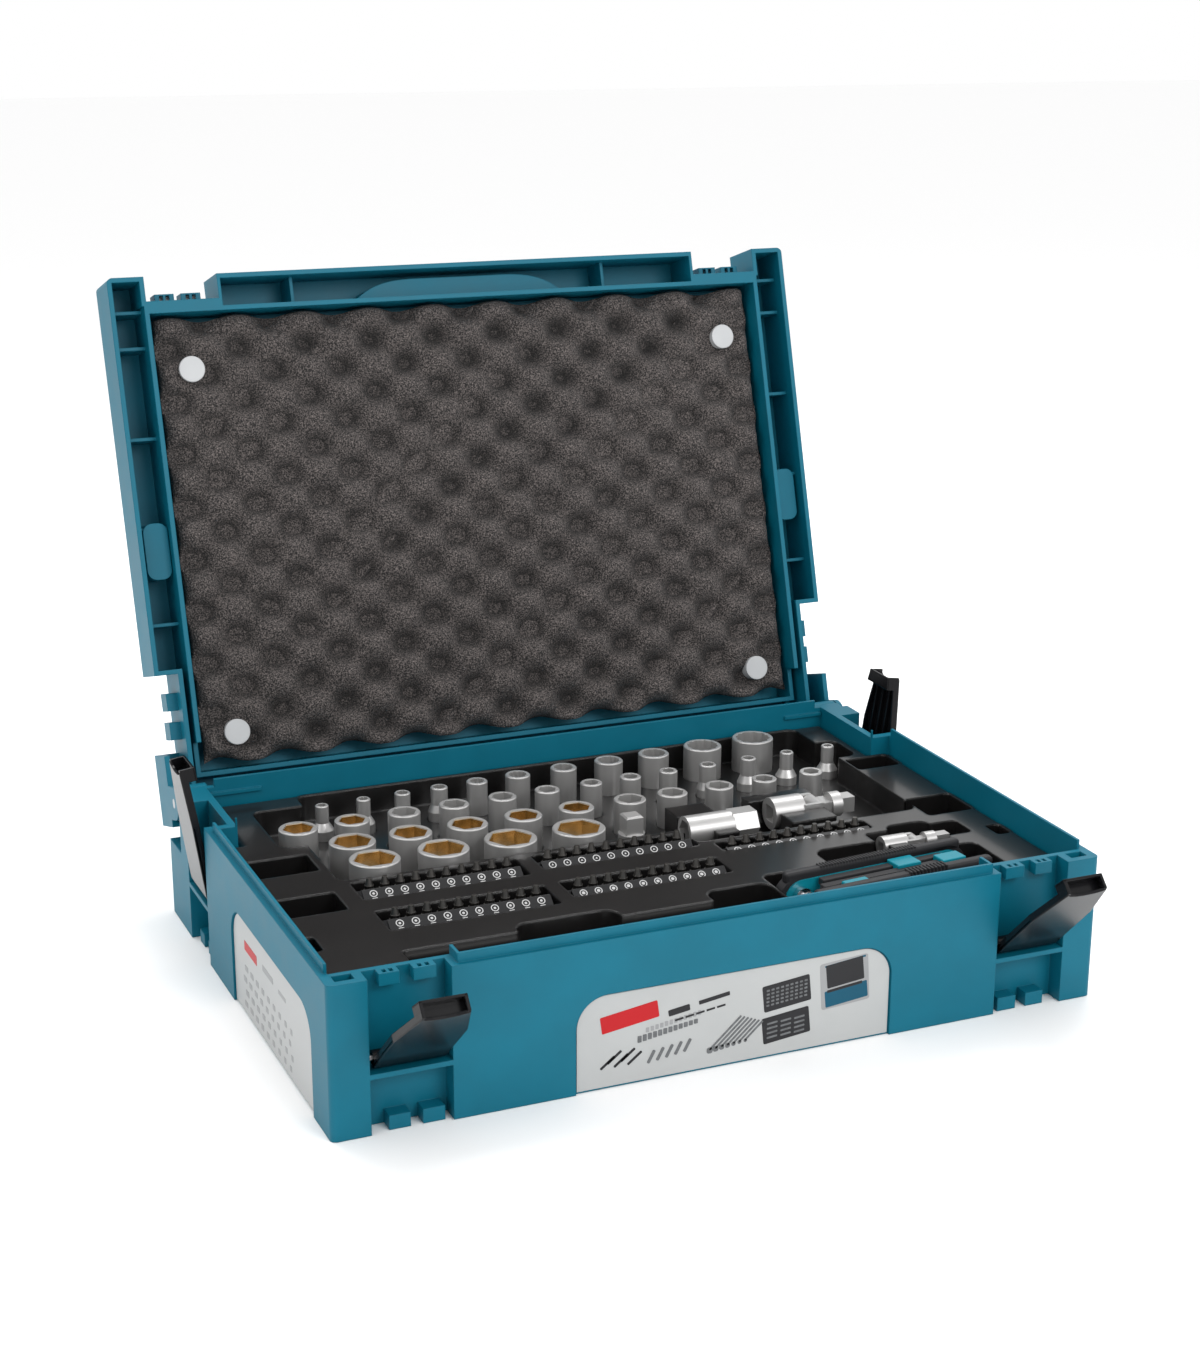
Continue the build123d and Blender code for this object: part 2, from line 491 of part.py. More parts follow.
# ================================================================ tools held in the upper tray
with BuildPart() as drive_adapter:
    with BuildSketch(Plane.XY.offset(44.0)):
        with Locations(ADAPTER_AT):
            Circle(7.0)
    extrude(amount=16.0)
    with BuildSketch(Plane.XY.offset(60.0)):
        with Locations(ADAPTER_AT):
            Rectangle(9.5, 9.5)
    extrude(amount=10.0)
    chamfer(drive_adapter.edges().group_by(Axis.Z)[-1], 0.8)
save(drive_adapter.part, "drive_adapter")

with BuildPart() as spark_plug_socket:
    rod((50.0, -2.0, 62.0), 8.3, 26.0, "x")
    with BuildSketch(Plane.YZ.offset(62.5)):
        with Locations((-2.0, 62.0)):
            RegularPolygon(8.9, 6)
    extrude(amount=14.0)
    with BuildSketch(Plane.YZ.offset(37.0)):
        with Locations((-2.0, 62.0)):
            RegularPolygon(6.6, 6)
    extrude(amount=18.0, mode=Mode.SUBTRACT)
    with BuildSketch(Plane.YZ.offset(76.5)):
        with Locations((-2.0, 62.0)):
            Rectangle(9.6, 9.6)
    extrude(amount=-10.0, mode=Mode.SUBTRACT)
save(spark_plug_socket.part, "spark_plug_socket")

# ---- bits stand in racks, five more lie under two of the racks
BIT_AF = 6.35
BIT_TOP = 69.5
RACKS = {"star_bits": (-103, -17.5, 10), "hex_bits": (-103, -57.0, 10), "tamper_bits": (-9.5, -16.0, 10),
         "cross_bits": (-9.5, -56.0, 10), "slot_bits": (84, -34.5, 10)}
BIT_PITCH = 7.9
SPARE_PITCH = 7.6
with BuildPart() as bit_racks:
    for x, y, count in RACKS.values():
        span = count * BIT_PITCH + 3
        block((x - span / 2, x + span / 2), (y - 4.8, y + 4.8), (46, 61.5))
    for x, y, count in RACKS.values():
        with Locations(*[(x + (k - (count - 1) / 2) * BIT_PITCH, y, 56) for k in range(count)]):
            Cylinder(BIT_AF / 3 ** 0.5 + 0.02, 12, mode=Mode.SUBTRACT)
save(bit_racks.part, "bit_racks")
for name, (x, y, count) in RACKS.items():
    with BuildPart() as bits:
        for k in range(count):
            centre = (x + (k - (count - 1) / 2) * BIT_PITCH, y)
            with BuildSketch(Plane.XY.offset(50.0)):
                with Locations(centre):
                    RegularPolygon(BIT_AF / 2, 6, major_radius=False)
            extrude(amount=13.0)
            with Locations((*centre, 64.0)):
                Cylinder(2.3, 4.0)
            with BuildSketch(Plane.XY.offset(65.5)):
                with Locations(centre):
                    Circle(2.2)
            with BuildSketch(Plane.XY.offset(BIT_TOP)):
                with Locations(centre):
                    Circle(1.2)
            loft()
    save(bits.part, name)
with BuildPart() as spare_bits:
    for x, y in ((-103, -27.0), (-9.5, -25.0)):
        for k in range(5):
            with Locations((x + (k - 2.5) * SPARE_PITCH, y, 55.0)):
                Cylinder(3.1, 8.0, rotation=(90, 0, 0))
save(spare_bits.part, "spare_bits")

# ---- extension, coupler and bit adapters lying along the front
with BuildPart() as extension_bar:
    rod((-3.0, -106.5, 58.0), 3.2, 66.0, "x")
    rod((-40.0, -106.5, 58.0), 5.6, 16.0, "x")
    block((30, 37), (-109.6, -103.4), (54.9, 61.1))
save(extension_bar.part, "extension_bar")
with BuildPart() as sliding_handle:
    rod((-118.0, -105.0, 57.0), 4.4, 56.0, "x")
    rod((-92.0, -105.0, 57.0), 3.0, 8.0, "x")
save(sliding_handle.part, "sliding_handle")
with BuildPart() as bit_holder:
    rod((-66.0, -108.0, 55.0), 6.0, 20.0, "x")
    with BuildSketch(Plane.YZ.offset(-57.0)):
        with Locations((-108.0, 55.0)):
            RegularPolygon(4.2, 6)
    extrude(amount=8.0)
save(bit_holder.part, "bit_holder")
with BuildPart() as three_way_adapter:
    rod((20.0, -117.0, 52.5), 5.2, 18.0, "x")
    block((29.0, 36.0), (-120.1, -113.9), (49.4, 55.6))
save(three_way_adapter.part, "three_way_adapter")

# ---- universal joints: a socket end and a drive end, each forked, pinned to a middle cross
def make_joint_halves(centre, radius, body_length, square):
    """The two halves of a universal joint along X: the fork on the left, the drive end on the right."""
    x, y, z = centre
    with BuildPart() as fork:
        rod((x - radius - body_length / 2, y, z), radius, body_length, "x")
        block((x - radius - 1, x + 0.1), (y - radius, y - radius + 2.2), (z - 0.6 * radius, z + 0.6 * radius))
        block((x - radius - 1, x + 0.1), (y + radius - 2.2, y + radius), (z - 0.6 * radius, z + 0.6 * radius))
        for side in (-1, 1):
            rod((x, y + side * (radius - 1.1), z), 0.6 * radius, 2.2, "y")
        rod((x, y, z), 1.5 + RUN_CLEAR, 3 * radius, "y", Mode.SUBTRACT)
        block((x - radius - body_length - 1, x - radius - body_length + 5), (y - square, y + square),
              (z - square, z + square), Mode.SUBTRACT)
    with BuildPart() as drive:
        rod((x, y, z), 0.58 * radius, 2 * (radius - 2.6), "y")
        block((x, x + radius), (y - radius + 3.4, y + radius - 3.4), (z - 0.4 * radius, z + 0.4 * radius))
        rod((x + radius + 3, y, z), 0.8 * radius, 6.0, "x")
        block((x + radius + 5, x + radius + 14), (y - square, y + square), (z - square, z + square))
        rod((x, y, z), 1.5, 3 * radius, "y", Mode.SUBTRACT)
    with BuildPart() as pin:
        rod((x, y, z), 1.5, 2 * radius, "y")
    return fork.part, drive.part, pin.part


LARGE_JOINT = (118.0, 8.0, 61.0)
SMALL_JOINT = (143.0, -56.0, 60.0)
for word, centre, radius, body, square in (("large", LARGE_JOINT, 8.6, 18.0, 4.2), ("small", SMALL_JOINT, 5.6, 14.0, 2.8)):
    fork, drive, pin = make_joint_halves(centre, radius, body, square)
    save(fork, f"{word}_joint_fork")
    save(drive, f"{word}_joint_drive")
    save(pin, f"{word}_joint_pin")

# ---- folding hexagon keys: two grips, a spine, two pivot screws and six keys
KEY_TOOL = Pos(101.0, -103.0, 57.0) * Rot(0, 0, 5.0)      # place and turn of the whole tool
KEY_ENDS = (-44.0, 44.0)
KEY_LANES = {"right": (-9.0, -1.8, 5.4), "left": (-5.4, 1.8, 9.0)}
KEY_SIZES = {"right": (4.0, 3.0, 2.0), "left": (2.5, 3.5, 3.0)}
KEY_LENGTH = 68.0
KEY_Z = 2.0
with BuildPart() as front_grip:
    with BuildSketch(Plane.XZ.offset(11.6)):
        SlotOverall(112, 24)
    extrude(amount=6.0)
    with Locations(*[(4 + k * 2.6, -17.6, 9.8) for k in range(9)]):
        Box(1.3, 1.6, 6.0, mode=Mode.SUBTRACT)
    for x in KEY_ENDS:
        rod((x, -14, KEY_Z), 2.5, 20, "y", Mode.SUBTRACT)
save(KEY_TOOL * front_grip.part, "front_grip")
with BuildPart() as back_grip:
    with BuildSketch(Plane.XZ.offset(-17.6)):
        SlotOverall(112, 24)
    extrude(amount=6.0)
    for x in KEY_ENDS:
        rod((x, 14, KEY_Z), 2.5, 20, "y", Mode.SUBTRACT)
save(KEY_TOOL * back_grip.part, "back_grip")
with BuildPart() as key_spine:
    block((-34, 34), (-11.6, 11.6), (-11.0, -5.5))
    for side in (-1, 1):
        with BuildSketch(Plane.XZ.offset(side * 11.25)):
            SlotOverall(106, 20)
        extrude(amount=0.35, both=True)
    for x in KEY_ENDS:
        rod((x, 0, KEY_Z), 2.5, 40, "y", Mode.SUBTRACT)
save(KEY_TOOL * key_spine.part, "key_spine")
with BuildPart() as key_screws:
    for x in KEY_ENDS:
        rod((x, 0, KEY_Z), 2.5, 35.2, "y")
save(KEY_TOOL * key_screws.part, "key_screws")
for end, word in ((1, "right"), (-1, "left")):
    for lane, size, number in zip(KEY_LANES[word], KEY_SIZES[word], (1, 2, 3)):
        with BuildPart() as key:
            rod((end * KEY_ENDS[1], lane, KEY_Z), 5.0, 3.3, "y")
            with BuildSketch(Plane.YZ.offset(end * (KEY_ENDS[1] - KEY_LENGTH))):
                with Locations((lane, KEY_Z)):
                    RegularPolygon(size * 0.46, 6)
            extrude(amount=end * (KEY_LENGTH - 3))
            rod((end * KEY_ENDS[1], lane, KEY_Z), 2.5 + RUN_CLEAR, 8, "y", Mode.SUBTRACT)
        save(KEY_TOOL * key.part, f"hex_key_{word}_{number}")

# ================================================================ lower tray and its tools
LOWER_POCKETS = (
    ((-186, 60), (-122, -12), 7, 4),
    ((68, 188), (-122, -12), 7, 4),
    ((-176, 176), (-4, 52), 7, 6),
    ((-176, 176), (60, 114), 7, 6),
)
with BuildPart() as lower_tray:
    block((-TRAY_HALF_W, TRAY_HALF_W), (TRAY_FRONT, 60.0), (FLOOR + 0.3, LOWER_DECK))
    block((-180.6, 180.6), (59.0, TRAY_BACK), (FLOOR + 0.3, LOWER_DECK))
    for (x0, x1), (y0, y1), floor, corner in LOWER_POCKETS:
        with BuildSketch(Plane.XY.offset(floor)):
            with Locations(((x0 + x1) / 2, (y0 + y1) / 2)):
                RectangleRounded(x1 - x0, y1 - y0, corner)
        extrude(amount=LOWER_DECK, mode=Mode.SUBTRACT)
save(lower_tray.part, "lower_tray")

SPANNER_Z = 7.0
# size across flats, length, middle line, end of the pocket where the ring lies, and which way the jaw points
SPANNERS = ((17, 205, -104, -182, 1), (15, 190, -76, 52, -1), (14, 180, -50, -182, 1), (13, 170, -26, 52, -1),
            (12, 114, -108, 72, 1), (10, 112, -88, 185, -1), (9, 108, -70, 72, 1), (8, 104, -53, 185, -1))
with BuildPart() as combination_spanners:
    for size, length, y, start, way in SPANNERS:
        thick = 3.0 + size * 0.18
        ring, jaw = sorted((start + way * size * 0.8, start + way * (length - size * 1.1)), key=lambda v: v * way)
        with BuildSketch(Plane.XY.offset(SPANNER_Z)):
            with Locations(((ring + jaw) / 2, y)):
                Rectangle(abs(jaw - ring), size * 0.55)
            with Locations((ring, y)):
                Circle(size * 0.76)
            with Locations((jaw, y)):
                Circle(size * 0.95)
            with Locations((ring, y)):
                RegularPolygon(size * 0.57, 6, mode=Mode.SUBTRACT)
            with Locations((jaw + way * size * 0.55, y)):
                Rectangle(size * 1.3, size, mode=Mode.SUBTRACT)
        extrude(amount=thick)
save(combination_spanners.part, "combination_spanners")


def make_ratchet(x, y, scale):
    """A ratchet laid along X: round head, shank and grip in one forging, square drive below."""
    z = SPANNER_Z + 5.5 * scale
    with BuildPart() as body:
        rod((x, y, z + 1.0), 15 * scale, 9 * scale, "z")
        rod((x - 62 * scale, y, z + 1.0), 5.5 * scale, 100 * scale, "x")
        rod((x - 120 * scale, y, z + 1.0), 6.4 * scale, 70 * scale, "x")
        block((x - 4.5 * scale, x + 4.5 * scale), (y - 4.5 * scale, y + 4.5 * scale), (SPANNER_Z, z))
        rod((x, y, z + 1.0 + 4.5 * scale), 7 * scale + RUN_CLEAR, 2 * scale, "z", Mode.SUBTRACT)
    top = z + 1.0 + 3.5 * scale
    with BuildPart() as lever:
        rod((x, y, top + 0.75 * scale), 7 * scale, 1.5 * scale, "z")
        block((x - 11.5 * scale, x), (y - 2 * scale, y + 2 * scale), (top + scale + 0.1, top + 1.5 * scale))
    return body.part, lever.part


for word, place in (("large", (150.0, 24.0, 1.0)), ("small", (150.0, 88.0, 0.7))):
    body, lever = make_ratchet(*place)
    save(body, f"{word}_ratchet")
    save(lever, f"{word}_ratchet_lever")
with BuildPart() as driver_handle:
    rod((-120, 24, 17), 9.8, 84, "x")
    rod((-64, 24, 17), 4.5, 34, "x")
save(driver_handle.part, "driver_handle")
with BuildPart() as lower_extensions:
    for y, length, radius in ((78, 150, 6.0), (98, 75, 6.0)):
        rod((-170 + length / 2, y, 13.5), radius, length, "x")
        block((-170 + length, -158 + length), (y - 4.5, y + 4.5), (9.0, 18.0))
save(lower_extensions.part, "lower_extensions")
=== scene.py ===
import bmesh
import bpy
import json
from math import atan2, cos, pi, radians, sin
from mathutils import Matrix, Vector


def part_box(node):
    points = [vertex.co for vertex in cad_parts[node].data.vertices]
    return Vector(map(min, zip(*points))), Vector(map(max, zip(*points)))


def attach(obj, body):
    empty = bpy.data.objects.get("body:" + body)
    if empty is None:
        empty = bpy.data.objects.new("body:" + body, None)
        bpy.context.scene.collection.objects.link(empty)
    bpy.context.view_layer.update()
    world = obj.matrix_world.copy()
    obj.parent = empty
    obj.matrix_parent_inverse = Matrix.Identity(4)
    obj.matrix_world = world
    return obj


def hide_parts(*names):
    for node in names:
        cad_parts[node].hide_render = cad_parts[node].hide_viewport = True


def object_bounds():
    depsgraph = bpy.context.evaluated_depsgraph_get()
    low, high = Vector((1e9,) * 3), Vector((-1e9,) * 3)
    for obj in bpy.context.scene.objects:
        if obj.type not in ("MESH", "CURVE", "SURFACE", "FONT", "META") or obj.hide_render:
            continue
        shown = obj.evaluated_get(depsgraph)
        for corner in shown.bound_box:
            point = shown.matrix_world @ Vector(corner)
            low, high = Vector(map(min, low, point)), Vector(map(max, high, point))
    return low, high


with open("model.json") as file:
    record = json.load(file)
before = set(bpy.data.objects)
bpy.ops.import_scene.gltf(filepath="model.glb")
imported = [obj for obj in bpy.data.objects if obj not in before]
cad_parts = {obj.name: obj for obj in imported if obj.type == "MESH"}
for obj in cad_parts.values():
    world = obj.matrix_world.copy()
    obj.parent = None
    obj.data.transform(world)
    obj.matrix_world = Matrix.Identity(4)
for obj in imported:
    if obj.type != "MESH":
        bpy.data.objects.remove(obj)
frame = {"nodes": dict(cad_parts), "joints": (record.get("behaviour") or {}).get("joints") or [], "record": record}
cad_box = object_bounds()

nodes = frame["nodes"]
joints = {j["name"]: j for j in frame["joints"]}

# ------------------------------------------------------------------ view and light
# A long lens looks down on the open case from its front left corner. Large soft boxes
# hang over a plain pale floor, so the plastic and the chrome get wide, quiet reflections.
LOOK_AZIMUTH, LOOK_ELEVATION, LOOK_ROLL = radians(-25.27), radians(18.73), radians(0.93)
CAMERA_AT = (-0.46652, -1.07351, 0.51395)
back = Vector((sin(LOOK_AZIMUTH) * cos(LOOK_ELEVATION), -cos(LOOK_AZIMUTH) * cos(LOOK_ELEVATION),
               sin(LOOK_ELEVATION)))
camera_data = bpy.data.cameras.new("camera")
camera_data.lens = 64.1
camera_data.sensor_width = 36.0
camera_data.shift_x, camera_data.shift_y = -0.0657, 0.0401
camera_data.clip_end = 30.0
camera = bpy.data.objects.new("camera", camera_data)
camera.matrix_world = (Matrix.Translation(CAMERA_AT) @ back.to_track_quat("Z", "Y").to_matrix().to_4x4()
                       @ Matrix.Rotation(LOOK_ROLL, 4, "Z"))
bpy.context.scene.collection.objects.link(camera)
bpy.context.scene.camera = camera

world = bpy.data.worlds.new("studio")
world.use_nodes = True
world.node_tree.nodes["Background"].inputs["Color"].default_value = (1.0, 1.0, 1.0, 1)
world.node_tree.nodes["Background"].inputs["Strength"].default_value = 1.0
bpy.context.scene.world = world
bpy.context.scene.view_settings.view_transform = "Standard"


def soft_box(name, place, target, width, height, power):
    """A large area light hung at a place and aimed at a target."""
    light = bpy.data.lights.new(name, "AREA")
    light.shape = "RECTANGLE"
    light.size, light.size_y, light.energy = width, height, power
    lamp = bpy.data.objects.new(name, light)
    aim = Vector(place) - Vector(target)
    lamp.matrix_world = Matrix.Translation(place) @ aim.to_track_quat("Z", "Y").to_matrix().to_4x4()
    bpy.context.scene.collection.objects.link(lamp)


soft_box("key_box", (0.55, -1.7, 1.25), (0, 0, 0.08), 1.0, 0.7, 17)
soft_box("side_box", (-1.5, -0.5, 1.3), (0, 0, 0.08), 0.8, 0.8, 3)
soft_box("top_strip", (0.1, 0.55, 1.2), (0, 0, 0.05), 1.5, 0.3, 12)

floor_mesh = bmesh.new()
bmesh.ops.create_grid(floor_mesh, x_segments=1, y_segments=1, size=6.0)
bmesh.ops.translate(floor_mesh, verts=floor_mesh.verts, vec=(0, 0, cad_box[0].z - 0.0002))
floor_data = bpy.data.meshes.new("floor")
floor_mesh.to_mesh(floor_data)
floor_mesh.free()
floor = bpy.data.objects.new("floor", floor_data)
bpy.context.scene.collection.objects.link(floor)
floor_paint = bpy.data.materials.new("pale_floor")
floor_paint.use_nodes = True
floor_shader = floor_paint.node_tree.nodes["Principled BSDF"]
floor_shader.inputs["Base Color"].default_value = (0.97, 0.97, 0.97, 1)
floor_shader.inputs["Roughness"].default_value = 0.9
floor_data.materials.append(floor_paint)

# ------------------------------------------------------------------ teal case: base and lid
# Both halves of the case are injection moulded in one teal plastic with a fine spark-eroded
# grain. Their edges are broken by the mould, so light catches every rim and rib.


def surface(name, colour, roughness, vary=0.06, patch=40.0, grain=2500.0, bump=0.05, edge=0.0, metal=0.0,
            coat=0.0):
    """A solid-coloured finish with uneven tone, a fine grain and softened edges."""
    made = bpy.data.materials.new(name)
    made.use_nodes = True
    tree = made.node_tree
    shader = tree.nodes["Principled BSDF"]
    place = tree.nodes.new("ShaderNodeTexCoord")
    tone = tree.nodes.new("ShaderNodeTexNoise")
    tone.inputs["Scale"].default_value = patch
    tone.inputs["Detail"].default_value = 4.0
    ramp = tree.nodes.new("ShaderNodeValToRGB")
    ramp.color_ramp.elements[0].position = 0.3
    ramp.color_ramp.elements[1].position = 0.7
    ramp.color_ramp.elements[0].color = [c * (1 - vary) for c in colour] + [1]
    ramp.color_ramp.elements[1].color = [min(1, c * (1 + vary)) for c in colour] + [1]
    gloss = tree.nodes.new("ShaderNodeMapRange")
    gloss.inputs["To Min"].default_value = roughness * 0.88
    gloss.inputs["To Max"].default_value = roughness * 1.12
    pores = tree.nodes.new("ShaderNodeTexNoise")
    pores.inputs["Scale"].default_value = grain
    pores.inputs["Detail"].default_value = 2.0
    relief = tree.nodes.new("ShaderNodeBump")
    relief.inputs["Strength"].default_value = bump
    relief.inputs["Distance"].default_value = 0.0002
    for a, b in ((place.outputs["Object"], tone.inputs["Vector"]),
                 (place.outputs["Object"], pores.inputs["Vector"]),
                 (tone.outputs["Fac"], ramp.inputs["Fac"]),
                 (ramp.outputs["Color"], shader.inputs["Base Color"]),
                 (tone.outputs["Fac"], gloss.inputs["Value"]),
                 (gloss.outputs["Result"], shader.inputs["Roughness"]),
                 (pores.outputs["Fac"], relief.inputs["Height"]),
                 (relief.outputs["Normal"], shader.inputs["Normal"]),
                 (relief.outputs["Normal"], shader.inputs["Coat Normal"])):
        tree.links.new(a, b)
    if edge:
        soft = tree.nodes.new("ShaderNodeBevel")
        soft.samples = 4
        soft.inputs["Radius"].default_value = edge
        tree.links.new(soft.outputs["Normal"], relief.inputs["Normal"])
    shader.inputs["Metallic"].default_value = metal
    shader.inputs["Specular IOR Level"].default_value = 0.22
    shader.inputs["Coat Weight"].default_value = coat
    shader.inputs["Coat Roughness"].default_value = 0.14
    return made


def dress(names, finish):
    """Give CAD nodes one finish."""
    for name in names:
        nodes[name].data.materials.clear()
        nodes[name].data.materials.append(finish)


teal = surface("teal_case_plastic", (0.0006, 0.120, 0.182), 0.46, edge=0.0007, bump=0.08)
dress(("case_base", "lid_shell"), teal)

# ------------------------------------------------------------------ pins and screws
# Plain steel wire and turned screws: the hinge pins, latch pins and handle pins, and the
# two screws that hold the folding keys together.
plain_steel = surface("plain_steel", (0.36, 0.36, 0.37), 0.33, grain=900, bump=0.1, metal=1.0)
dress(("hinge_pins", "latch_pins", "handle_pins", "key_screws"), plain_steel)

# ------------------------------------------------------------------ latches and carry handle
# Four hollow levers and the folding handle, moulded in polished black plastic. Each lever
# has three ribs inside, and a narrower free end with a pocket for a finger.
polished_black = surface("polished_black", (0.005, 0.005, 0.006), 0.22, bump=0.01)
dress(("carry_handle",), polished_black)
LATCH_LONG = 0.0672
END_WIDTH = 0.64                     # the free end, as a part of the full width
HOOK_AT = 0.0602                     # the hook's underside, above the pivot
CHEEK_BACK = -0.0009                 # the cheeks stop short of the catches behind them
LATCH_FOOT = -0.002                  # the lever's lower end, below the pivot
LATCH_WALL = 0.0016                  # thickness of the face and the cheeks


def add_piece(name, mesh, finish, body, stands_for=()):
    """Turn a bmesh into a piece that rides on a body."""
    bmesh.ops.remove_doubles(mesh, verts=mesh.verts, dist=1e-6)
    bmesh.ops.recalc_face_normals(mesh, faces=mesh.faces)
    data = bpy.data.meshes.new(name)
    mesh.to_mesh(data)
    mesh.free()
    data.materials.append(finish)
    piece = bpy.data.objects.new(name, data)
    bpy.context.scene.collection.objects.link(piece)
    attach(piece, body)
    if stands_for:
        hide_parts(*stands_for)
    return piece


def slab(mesh, outline, low, high):
    """A flat plate: an outline in X and Z between two Y values."""
    rings = [[mesh.verts.new((x, y, z)) for x, z in outline] for y in (low, high)]
    for ring in rings:
        mesh.faces.new(ring)
    for k in range(len(outline)):
        n = (k + 1) % len(outline)
        mesh.faces.new((rings[0][k], rings[0][n], rings[1][n], rings[1][k]))


def latch_lever(node, joint, turn):
    """A hollow lever with a finger pocket in its free end, drawn upright on its pivot."""
    pivot = Vector(joint["pos_m"])
    stand = (Matrix.Translation(pivot) @ Matrix.Rotation(radians(turn), 4, "Z")
             @ Matrix.Rotation(radians(-joint["range_deg"][0]), 4, "X"))
    points = [stand.inverted() @ v.co for v in nodes[node].data.vertices]
    half = max(p.x for p in points) - 0.0001
    front, behind = min(p.y for p in points), max(p.y for p in points)
    tip, waist = half * END_WIDTH, LATCH_LONG * 0.56
    wide = half - (half - tip) * (HOOK_AT - waist) / (LATCH_LONG - waist)
    mesh = bmesh.new()
    lip = [(tip * f, LATCH_LONG - drop) for f, drop in
           ((1, 0.0008), (0.86, 0.0024), (0.5, 0.0037), (0, 0.0042), (-0.5, 0.0037), (-0.86, 0.0024),
            (-1, 0.0008))]
    slab(mesh, [(-half, LATCH_FOOT), (half, LATCH_FOOT), (half, waist)] + lip + [(-half, waist)],
         front, front + LATCH_WALL)
    for side in (-1, 1):
        cheek = [(side * half, LATCH_FOOT), (side * half, waist), (side * tip, LATCH_LONG),
                 (side * (tip - LATCH_WALL), LATCH_LONG), (side * (half - LATCH_WALL), waist),
                 (side * (half - LATCH_WALL), LATCH_FOOT)]
        slab(mesh, cheek, front + 0.0004, CHEEK_BACK)
        pocket_side = [(side * wide, HOOK_AT), (side * tip, LATCH_LONG),
                       (side * (tip - LATCH_WALL), LATCH_LONG), (side * (wide - LATCH_WALL), HOOK_AT)]
        slab(mesh, pocket_side, CHEEK_BACK - 0.0006, behind - 0.0001)
    slab(mesh, [(-wide, HOOK_AT), (wide, HOOK_AT), (tip, LATCH_LONG), (-tip, LATCH_LONG)],
         behind - 0.0014, behind)
    hook = [(-wide, HOOK_AT), (wide, HOOK_AT), (wide - 0.0006, HOOK_AT + 0.0014),
            (0.0006 - wide, HOOK_AT + 0.0014)]
    slab(mesh, hook, front + 0.0004, behind)
    for x in (-0.007, 0.0, 0.007):
        slab(mesh, [(x - 0.0006, 0.004), (x + 0.0006, 0.004), (x + 0.0006, HOOK_AT), (x - 0.0006, HOOK_AT)],
             front + 0.0008, CHEEK_BACK)
    bmesh.ops.recalc_face_normals(mesh, faces=mesh.faces)
    bmesh.ops.bevel(mesh, geom=mesh.edges[:], offset=0.00035, segments=2, profile=0.5, affect="EDGES",
                    material=-1)
    bmesh.ops.create_cone(mesh, cap_ends=True, segments=28, radius1=0.0034, radius2=0.0034, depth=2 * half,
                          matrix=Matrix.Rotation(pi / 2, 4, "Y"))
    bmesh.ops.transform(mesh, matrix=stand, verts=mesh.verts)
    add_piece(node + "_lever", mesh, polished_black, joint["child"], (node,))


for word, side in (("left", -1), ("right", 1)):
    latch_lever(f"front_{word}_latch", joints[f"front_{word}_latch_hinge"], 0)
    latch_lever(f"back_{word}_latch", joints[f"back_{word}_latch_hinge"], side * 90)

# ------------------------------------------------------------------ foam pad in the lid
# Charcoal egg-crate foam, cut by rollers into rows of pits that sit half a pitch apart, and
# held in the lid by four white plugs. It is drawn for a closed lid, then opened with it.
lid_hinge = joints["lid_hinge"]
hinge_at = Vector(lid_hinge["pos_m"])
open_lid = (Matrix.Translation(hinge_at)
            @ Matrix.Rotation(radians(lid_hinge["range_deg"][0]), 4, Vector((1, 0, 0)))
            @ Matrix.Translation(-hinge_at))


def box_within(place, node):
    """A CAD node's box, measured along the axes of a placed frame."""
    points = [place.inverted() @ v.co for v in nodes[node].data.vertices]
    return [Vector(pick(p[k] for p in points) for k in range(3)) for pick in (min, max)]


foam_low, foam_high = box_within(open_lid, "foam_pad")
PIT_X, PIT_Y = 0.037, 0.028          # pits repeat at these pitches, with a second set between them
PIT_DEEP = 0.0102
FOAM_STEP = 0.0019
foam = bmesh.new()
foam_size = foam_high - foam_low
across, along = round(foam_size.x / FOAM_STEP), round(foam_size.y / FOAM_STEP)
bmesh.ops.create_grid(foam, x_segments=across, y_segments=along, size=0.5)
bmesh.ops.scale(foam, verts=foam.verts, vec=(foam_size.x, foam_size.y, 1))
rim_edges = [e for e in foam.edges if e.is_boundary]
wall = bmesh.ops.extrude_edge_only(foam, edges=rim_edges)
back_verts = [g for g in wall["geom"] if isinstance(g, bmesh.types.BMVert)]
bmesh.ops.translate(foam, verts=back_verts, vec=(0, 0, foam_size.z - 0.012))
bmesh.ops.contextual_create(foam, geom=[e for e in foam.edges if e.is_boundary])
back_set = set(back_verts)
# Each vertex keeps its pit depth, which the foam finish uses to paint shade into the pits.
depth_layer = foam.verts.layers.float.new("pit_depth")
foam_middle = (foam_low + foam_high) / 2
plug_low, plug_high = box_within(open_lid, "foam_plugs")
plug_spots = [(Vector((x, y)) - foam_middle.xy) for x in (plug_low.x + 0.007, plug_high.x - 0.007)
              for y in (plug_low.y + 0.007, plug_high.y - 0.007)]
for v in foam.verts:
    wave_x, wave_y = 2 * pi * v.co.x / PIT_X, 2 * pi * (v.co.y + 0.004) / PIT_Y
    pit = (0.5 + 0.5 * cos(wave_x) * cos(wave_y)) ** 1.35
    near_plug = min((v.co.xy - plug).length for plug in plug_spots)
    pit = max(pit, min(1.0, 2.2 - near_plug / 0.0075) * 0.42) if near_plug < 0.0165 else pit
    edge_x = max(0.0, 1 - (foam_size.x / 2 - abs(v.co.x)) / 0.010)
    edge_y = max(0.0, 1 - (foam_size.y / 2 - abs(v.co.y)) / 0.010)
    v[depth_layer] = pit
    if v not in back_set:
        v.co.z = min(0.0098, PIT_DEEP * pit + 0.003 * max(edge_x, edge_y) ** 2)
        v.co.x -= (1 if v.co.x > 0 else -1) * 0.0045 * edge_x * pit
        v.co.y -= (1 if v.co.y > 0 else -1) * 0.0040 * edge_y * pit
bmesh.ops.translate(foam, verts=foam.verts, vec=(foam_middle.x, foam_middle.y, foam_low.z))
